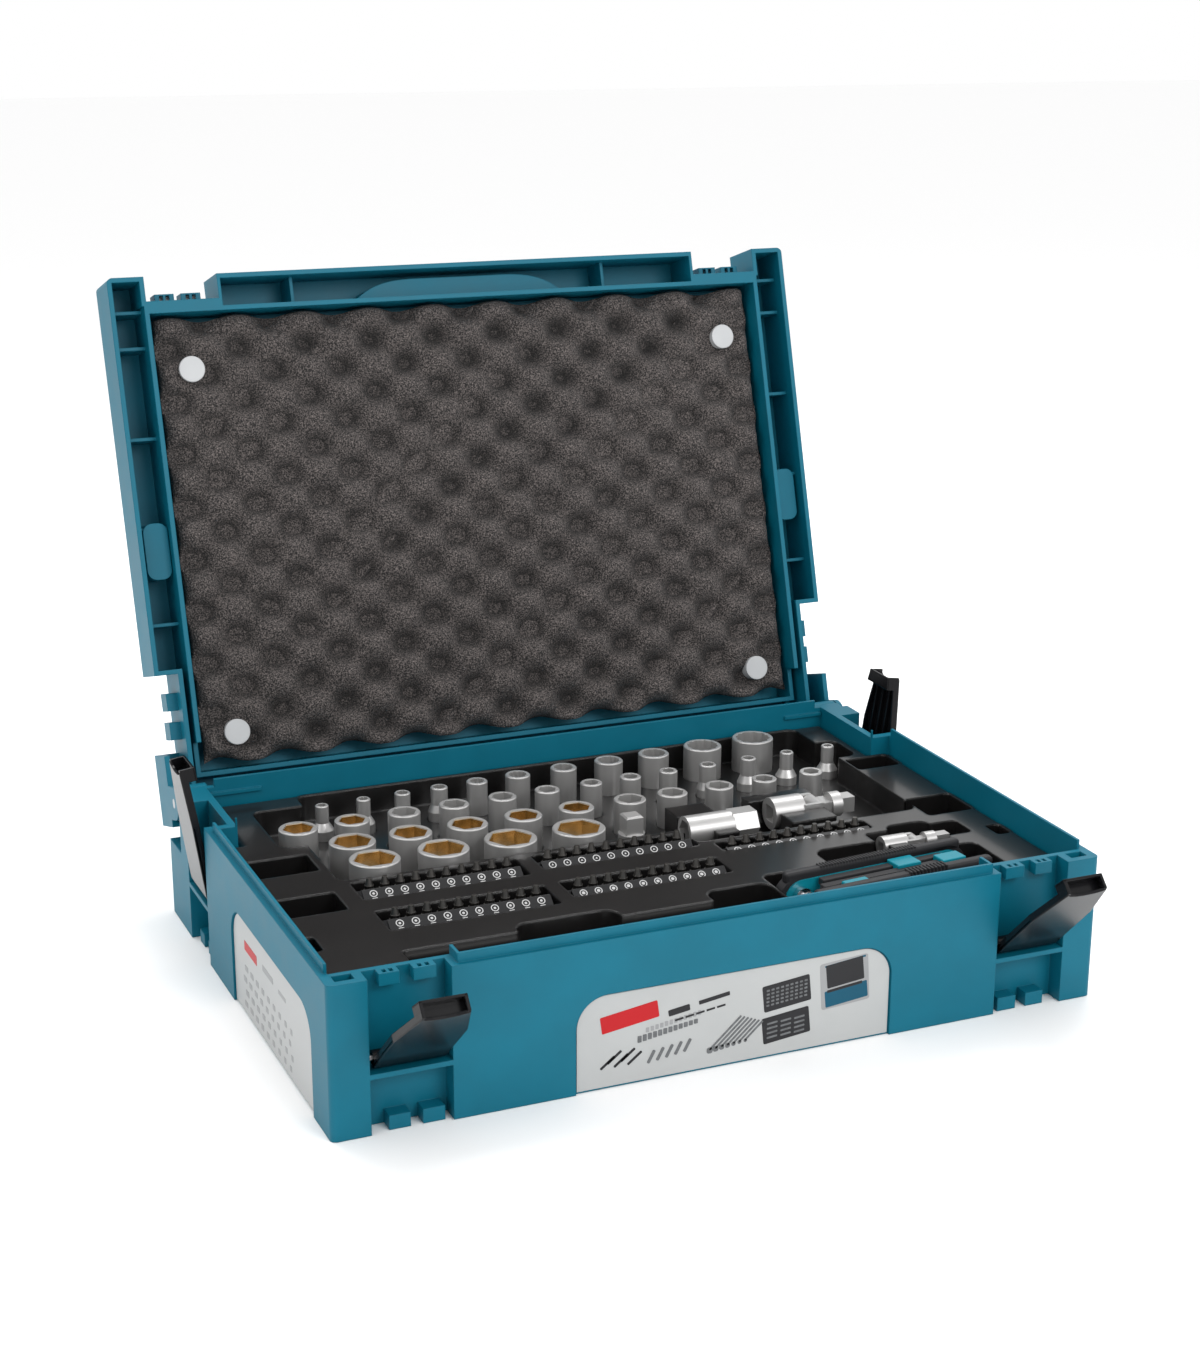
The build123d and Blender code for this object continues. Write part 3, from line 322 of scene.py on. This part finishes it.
bmesh.ops.transform(foam, matrix=open_lid, verts=foam.verts)

foam_finish = bpy.data.materials.new("charcoal_foam")
foam_finish.use_nodes = True
foam_tree = foam_finish.node_tree
foam_shader = foam_tree.nodes["Principled BSDF"]
foam_place = foam_tree.nodes.new("ShaderNodeTexCoord")
cells = foam_tree.nodes.new("ShaderNodeTexVoronoi")
cells.inputs["Scale"].default_value = 900.0
specks = foam_tree.nodes.new("ShaderNodeTexNoise")
specks.inputs["Scale"].default_value = 1300.0
specks.inputs["Detail"].default_value = 3.0
speck_ramp = foam_tree.nodes.new("ShaderNodeValToRGB")
speck_ramp.color_ramp.elements[0].position = 0.42
speck_ramp.color_ramp.elements[0].color = (0.010, 0.009, 0.009, 1)
speck_ramp.color_ramp.elements[1].position = 0.76
speck_ramp.color_ramp.elements[1].color = (0.20, 0.172, 0.163, 1)
# Painted shade: the base colour is darkened with pit depth, so the deep pits of the foam come out darker.
depth = foam_tree.nodes.new("ShaderNodeAttribute")
depth.attribute_name = "pit_depth"
shade = foam_tree.nodes.new("ShaderNodeMapRange")
shade.inputs["From Min"].default_value, shade.inputs["From Max"].default_value = 0.25, 0.95
shade.inputs["To Min"].default_value, shade.inputs["To Max"].default_value = 1.0, 0.12
painted_pit_shade = foam_tree.nodes.new("ShaderNodeVectorMath")
painted_pit_shade.operation = "SCALE"
foam_relief = foam_tree.nodes.new("ShaderNodeBump")
foam_relief.inputs["Strength"].default_value = 0.9
foam_relief.inputs["Distance"].default_value = 0.0006
for a, b in ((foam_place.outputs["Object"], cells.inputs["Vector"]),
             (foam_place.outputs["Object"], specks.inputs["Vector"]),
             (specks.outputs["Fac"], speck_ramp.inputs["Fac"]),
             (speck_ramp.outputs["Color"], painted_pit_shade.inputs["Vector"]),
             (depth.outputs["Fac"], shade.inputs["Value"]),
             (shade.outputs["Result"], painted_pit_shade.inputs["Scale"]),
             (painted_pit_shade.outputs["Vector"], foam_shader.inputs["Base Color"]),
             (cells.outputs["Distance"], foam_relief.inputs["Height"]),
             (foam_relief.outputs["Normal"], foam_shader.inputs["Normal"])):
    foam_tree.links.new(a, b)
foam_shader.inputs["Roughness"].default_value = 0.95
foam_shader.inputs["Sheen Weight"].default_value = 0.04
foam_shader.inputs["Sheen Roughness"].default_value = 0.6
foam_piece = add_piece("egg_crate_foam", foam, foam_finish, "lid", ("foam_pad",))
for face in foam_piece.data.polygons:
    face.use_smooth = len(face.vertices) == 4

white_plastic = surface("white_plug_plastic", (0.46, 0.47, 0.48), 0.35, bump=0.03, edge=0.0008)
dress(("foam_plugs",), white_plastic)

# ------------------------------------------------------------------ upper and lower tray
# Both trays are vacuum formed from thin, glossy black sheet, so their lips are round and
# catch the light.
tray_black = surface("formed_black_sheet", (0.007, 0.0065, 0.0065), 0.34, grain=1200, bump=0.02,
                     edge=0.0019, coat=0.55)
dress(("upper_tray", "lower_tray"), tray_black)

# ------------------------------------------------------------------ sockets and drive tools
# Chrome vanadium steel, turned, broached and satin chromed. The folding keys are plated
# brighter than the rest.


def nodes_in(slot):
    """The CAD nodes that share one material slot."""
    return [part["node"] for part in frame["record"]["subparts"] if part["material_slot"] == slot]


satin_chrome = surface("satin_chrome", (0.46, 0.455, 0.45), 0.38, vary=0.04, grain=1800, bump=0.03,
                       edge=0.0003, metal=0.72)
dress(nodes_in("satin_chrome"), satin_chrome)
bright_chrome = surface("bright_chrome", (0.75, 0.75, 0.77), 0.12, vary=0.02, bump=0.01, metal=1.0)
dress(nodes_in("key_steel"), bright_chrome)

# ------------------------------------------------------------------ bits and their racks
# Hardened dark steel bits stand in five black plastic racks, ten to a rack, and ten spare
# bits lie flat under two of the racks.
bit_steel = surface("dark_bit_steel", (0.09, 0.085, 0.08), 0.36, bump=0.06, edge=0.0002, metal=1.0)
dress(nodes_in("bit_steel"), bit_steel)
rack_black = surface("rack_black", (0.012, 0.012, 0.013), 0.4, edge=0.0005)
dress(("bit_racks",), rack_black)

# ------------------------------------------------------------------ folding keys and driver handle
# Two black grips over a teal spine, with ribs for the thumb and tabs that lift the keys. The
# driver handle in the lower tray is black too.
grip_black = surface("grip_black", (0.020, 0.020, 0.022), 0.45, bump=0.12, edge=0.0008)
dress(("front_grip", "back_grip", "driver_handle"), grip_black)
teal_insert = surface("teal_insert", (0.004, 0.19, 0.25), 0.25, edge=0.0003)
dress(("key_spine",), teal_insert)
key_left, key_right = (Vector(joints[f"key_{w}_1_fold"]["pos_m"]) for w in ("left", "right"))
key_line = key_right - key_left
key_turn = Matrix.Rotation(atan2(key_line.y, key_line.x), 4, "Z")
key_place = Matrix.Translation((key_left + key_right) / 2) @ key_turn


def bar(mesh, low, high, round_off=0.0):
    """A bar between two corners, its edges rounded."""
    made = bmesh.ops.create_cube(mesh, size=1.0)["verts"]
    bmesh.ops.scale(mesh, verts=made, vec=[b - a for a, b in zip(low, high)])
    bmesh.ops.translate(mesh, verts=made, vec=[(a + b) / 2 for a, b in zip(low, high)])
    if round_off:
        corners = list({e for v in made for e in v.link_edges})
        bmesh.ops.bevel(mesh, geom=corners, offset=round_off, segments=3, profile=0.5, affect="EDGES",
                        material=-1)


near_low, near_high = box_within(key_place, "front_grip")
far_low, far_high = box_within(key_place, "back_grip")
spine_low, spine_high = box_within(key_place, "key_spine")
grips = bmesh.new()
bar(grips, (near_low.x + 0.004, near_low.y + 0.0006, near_high.z - 0.004),
    (near_high.x - 0.004, near_high.y + 0.0006, near_high.z + 0.0030), 0.0022)
for k in range(11):                                  # a patch of thumb ribs on the near grip
    x = 0.0015 + 0.0021 * k
    bar(grips, (x, near_low.y + 0.0002, near_high.z - 0.002),
        (x + 0.0011, near_high.y + 0.0002, near_high.z + 0.0038), 0.0003)
bar(grips, (far_low.x + 0.004, far_low.y, far_high.z - 0.004),
    (far_high.x - 0.004, far_high.y - 0.0006, far_high.z + 0.0024), 0.0018)
for k in range(34):                                  # fine ribs along the far grip
    x = far_low.x + 0.024 + 0.0017 * k
    bar(grips, (x, far_low.y + 0.0004, far_high.z), (x + 0.0008, far_high.y - 0.0012, far_high.z + 0.0029))
bmesh.ops.transform(grips, matrix=key_place, verts=grips.verts)
add_piece("key_grip_tops", grips, grip_black, "upper_tray_set")
painted_gap_shade = bmesh.new()
span = spine_high.y - spine_low.y
for k in range(3):                                   # painted shade: black bars in the gaps between the teal leaves, where the folded keys lie in shade
    low = spine_low.y + span * (0.06 + 0.32 * k)
    bar(painted_gap_shade, (spine_low.x + 0.010 + 0.004 * k, low, spine_high.z - 0.003),
        (spine_high.x - 0.022 + 0.003 * k, low + span * 0.2, spine_high.z + 0.0006), 0.0004)
bmesh.ops.transform(painted_gap_shade, matrix=key_place, verts=painted_gap_shade.verts)
add_piece("key_leaf_gap_shade", painted_gap_shade, grip_black, "upper_tray_set")
leaves = bmesh.new()
for at, low, high in ((-0.030, 0.0, 0.36), (0.006, 0.5, 0.95), (0.030, 0.3, 0.7)):   # tabs that lift the keys
    bar(leaves, (at, spine_low.y + span * low, spine_high.z - 0.001),
        (at + 0.014, spine_low.y + span * high, spine_high.z + 0.0022), 0.0006)
bmesh.ops.transform(leaves, matrix=key_place, verts=leaves.verts)
add_piece("key_leaf_tabs", leaves, teal_insert, "upper_tray_set")

# ------------------------------------------------------------------ socket mouths
# The broached hexagons are oiled bare steel, and inside the bigger sockets they look amber.
amber_steel = surface("amber_steel", (0.80, 0.62, 0.36), 0.2, vary=0.2, patch=160, grain=900, bump=0.05,
                      metal=1.0)
MOUTH_WALL = 0.00174
MOUTH_DEEP = 0.0125
MOUTH_SUNK = 0.0006                  # the chamfer above the hexagon


def loose_boxes(node):
    """The box of every separate solid in a CAD node, from left to right."""
    mesh = bmesh.new()
    mesh.from_mesh(nodes[node].data)
    bmesh.ops.remove_doubles(mesh, verts=mesh.verts, dist=1e-5)
    unseen, boxes = set(mesh.verts), []
    while unseen:
        solid, edge = set(), {unseen.pop()}
        while edge:
            solid |= edge
            edge = {e.other_vert(v) for v in edge for e in v.link_edges} - solid
        unseen -= solid
        boxes.append([Vector(pick(v.co[k] for v in solid) for k in range(3)) for pick in (min, max)])
    mesh.free()
    return sorted(boxes, key=lambda b: b[0].x + b[1].x)


for node, first, last in (("large_sockets", 0, 4), ("middle_sockets", 0, 5), ("small_sockets", 0, 2)):
    mouths = bmesh.new()
    for low, high in loose_boxes(node)[first:last]:
        wide = (high.x - low.x) / 2 - MOUTH_WALL
        spot = Matrix.Translation(((low.x + high.x) / 2, (low.y + high.y) / 2,
                                   high.z - MOUTH_SUNK - MOUTH_DEEP / 2))
        bmesh.ops.create_cone(mouths, cap_ends=False, segments=6, radius1=wide, radius2=wide,
                              depth=MOUTH_DEEP, matrix=spot @ Matrix.Rotation(radians(30), 4, "Z"))
    bmesh.ops.solidify(mouths, geom=mouths.faces[:], thickness=0.0002)
    add_piece(node + "_mouths", mouths, amber_steel, "upper_tray_set")

# ------------------------------------------------------------------ bit rack fronts
# A sloping lip in front of each rack carries a white printed mark for every bit: a ring with
# the bit's profile in it, and a dash below. The profiles are plain shapes.
LIP_DEEP, LIP_THICK, LIP_SLOPE, LIP_RISE, LIP_BACK = 0.0072, 0.0008, 0.6, 0.0042, 0.0004
RING_OUT, RING_IN, PROFILE_SIZE = 0.0020, 0.0015, 0.0016
BITS_IN_RACK = 10
rack_boxes = sorted(loose_boxes("bit_racks"), key=lambda b: (round(b[0].x, 2), b[0].y))
lips = bmesh.new()
marks = bmesh.new()
for number, (low, high) in enumerate(rack_boxes):
    slope = Matrix.Translation(((low.x + high.x) / 2, low.y + LIP_BACK, high.z + LIP_RISE)) @ Matrix.Rotation(
        LIP_SLOPE if number < 4 else LIP_SLOPE / 2, 4, "X")
    made = bmesh.ops.create_cube(lips, size=1.0)
    bmesh.ops.scale(lips, verts=made["verts"], vec=(high.x - low.x, LIP_DEEP, LIP_THICK))
    bmesh.ops.translate(lips, verts=made["verts"], vec=(0, -LIP_DEEP / 2, -LIP_THICK / 2))
    bmesh.ops.transform(lips, matrix=slope, verts=made["verts"])
    step = (high.x - low.x - 0.003) / BITS_IN_RACK
    for k in range(BITS_IN_RACK):
        spot = slope @ Matrix.Translation(((k - 4.5) * step, -0.0030, 0.00012))
        outer, inner = (bmesh.ops.create_circle(marks, cap_ends=False, segments=20, radius=radius,
                                                matrix=spot)["verts"] for radius in (RING_OUT, RING_IN))
        rings = {e for v in outer + inner for e in v.link_edges}
        bmesh.ops.bridge_loops(marks, edges=list(rings))
        profile = spot @ Matrix.Scale(0.45 + 0.07 * (number % 3), 4)
        bmesh.ops.create_circle(marks, cap_ends=True, segments=(6, 4, 6, 3, 4)[number],
                                radius=PROFILE_SIZE, matrix=profile)
        below = spot @ Matrix.Translation((0, -0.0027, 0))
        dash = bmesh.ops.create_grid(marks, x_segments=1, y_segments=1, size=0.5, matrix=below)["verts"]
        bmesh.ops.scale(marks, verts=dash, vec=(0.0026, 0.0004, 1), space=below.inverted())
bmesh.ops.solidify(marks, geom=marks.faces[:], thickness=0.00008)
add_piece("rack_lips", lips, rack_black, "upper_tray_set")
print_white = surface("print_white", (0.46, 0.46, 0.46), 0.5, vary=0.02)
add_piece("rack_marks", marks, print_white, "upper_tray_set")

# ------------------------------------------------------------------ labels
# Printed paper stickers in arched hollows on the front and the sides. The print is generic:
# a red block, small tools in grey, two trays seen from above and the open case.
label_paper = surface("label_paper", (0.40, 0.41, 0.41), 0.38, vary=0.02, bump=0.02)
dress(("front_label", "left_side_label", "right_side_label"), label_paper)
PRINT_THICK = 0.00008
front_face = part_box("front_label")[0].y
PRINTS = {
    "red": surface("print_red", (0.42, 0.008, 0.012), 0.4, vary=0.02),
    "dark": surface("print_dark", (0.018, 0.018, 0.02), 0.4, vary=0.05),
    "grey": surface("print_grey", (0.12, 0.125, 0.13), 0.4, vary=0.2, patch=400),
    "pale": surface("print_pale", (0.27, 0.275, 0.28), 0.4, vary=0.05),
    "teal": surface("print_teal", (0.003, 0.07, 0.12), 0.4, vary=0.05),
}


def print_marks(name, base, shapes, layer):
    """Thin printed shapes on a label: (x, z, width, height, turn in degrees, corner), in millimetres."""
    for ink in PRINTS:
        wanted = [shape[1:] for shape in shapes if shape[0] == ink]
        if not wanted:
            continue
        sheet = bmesh.new()
        for x, z, wide, high, turn, corner in wanted:
            spot = (base @ Matrix.Translation((x / 1000, z / 1000, PRINT_THICK * layer[ink]))
                    @ Matrix.Rotation(radians(turn), 4, "Z"))
            made = bmesh.ops.create_grid(sheet, x_segments=1, y_segments=1, size=0.5)["verts"]
            bmesh.ops.scale(sheet, verts=made, vec=(wide / 1000, high / 1000, 1))
            if corner:
                made = bmesh.ops.bevel(sheet, geom=made, offset=corner / 1000, segments=3, profile=0.5,
                                       affect="VERTICES", material=-1)["verts"]
            bmesh.ops.transform(sheet, matrix=spot, verts=made)
        bmesh.ops.solidify(sheet, geom=sheet.faces[:], thickness=PRINT_THICK * layer[ink] * 0.9)
        add_piece(f"{name}_{ink}", sheet, PRINTS[ink], "base")


LAYER = {"pale": 1.0, "teal": 1.2, "dark": 1.6, "grey": 2.2, "red": 1.3}
tools = [("red", -55, 34, 29, 8.5, 8, 0.6), ("dark", -30, 33, 11, 3.2, 8, 0.5),
         ("dark", -12, 36, 16, 2.0, 8, 0.3)]
for k in range(7):                                   # spanners fanned out, long to short
    tools.append(("grey", -6 + 2.5 * k, 17 - 0.25 * k, 22 - 1.6 * k, 1.0, 42, 0.4))
    tools.append(("grey", -14 + 3.1 * k, 9.4 + 0.3 * k, 3.0 - 0.2 * k, 3.0 - 0.2 * k, 0, 1.0))
for k in range(12):                                  # rows of sockets
    tools.append(("grey", -50 + 2.6 * k, 22 + 0.35 * k, 2.0, 3.4 - 0.1 * k, 0, 0.3))
    tools.append(("pale", -46 + 2.4 * k, 26 + 0.35 * k, 1.7, 2.4, 0, 0.3))
for k in range(5):                                   # handles, ratchets and bit rows
    tools.append(("dark", -66 + 3.4 * k, 13 + 2.2 * (k % 2), 9, 1.3, 38, 0.5))
    tools.append(("dark", -30 + 5.4 * k, 28.5 + 0.7 * k, 4.4, 1.0, 8, 0.2))
    tools.append(("grey", -44 + 4.6 * k, 12 + 0.6 * k, 1.6, 7.0, -28, 0.6))
# the two trays: height, rows, marks in a row, first mark, pitch and width
for z, rows, in_row, first, step, wide in ((31.5, 5, 9, 0, 2.5, 1.6), (15.0, 4, 3, 2.6, 7.2, 5.6)):
    tools.append(("dark", 26, z, 25, 13.5, 6, 0.8))
    for row in range(rows):
        for k in range(in_row):
            tools.append(("grey", 16 + step * k + first, z - 4.6 + row * 9.6 / rows + 0.25 * k,
                          wide, 1.0, 6, 0.3))
tools += [("pale", 57, 32, 26, 24, 4, 1.2), ("dark", 57, 37, 20, 12, 6, 0.5),
          ("teal", 58, 25.5, 23, 8.5, 6, 0.6), ("teal", 57, 42.6, 22, 1.0, 6, 0.2),
          ("dark", 57, 29.4, 19, 1.4, 6, 0.3)]
front_print = Matrix.Translation((0, front_face, 0)) @ Matrix.Rotation(pi / 2, 4, "X")
print_marks("front_print", front_print, tools, LAYER)
faint = [("red", -36, 38, 22, 5, 0, 0.5), ("pale", -6, 39, 18, 3, 0, 0.4), ("pale", 18, 38, 12, 2, 0, 0.3)]
for row in range(4):
    for k in range(9):
        faint.append(("pale", -48 + 9.6 * k + 3 * (row % 2), 6 + 6.6 * row, 5.6 - 0.3 * k, 3.0, 0, 0.6))
left_low, left_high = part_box("left_side_label")
middle = (left_low.y + left_high.y) / 2
for word, face, turn in (("left", left_low.x, -pi / 2), ("right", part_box("right_side_label")[1].x, pi / 2)):
    side_print = (Matrix.Translation((face, middle, 0)) @ Matrix.Rotation(turn, 4, "Z")
                  @ Matrix.Rotation(pi / 2, 4, "X"))
    print_marks(f"{word}_print", side_print, faint, LAYER)
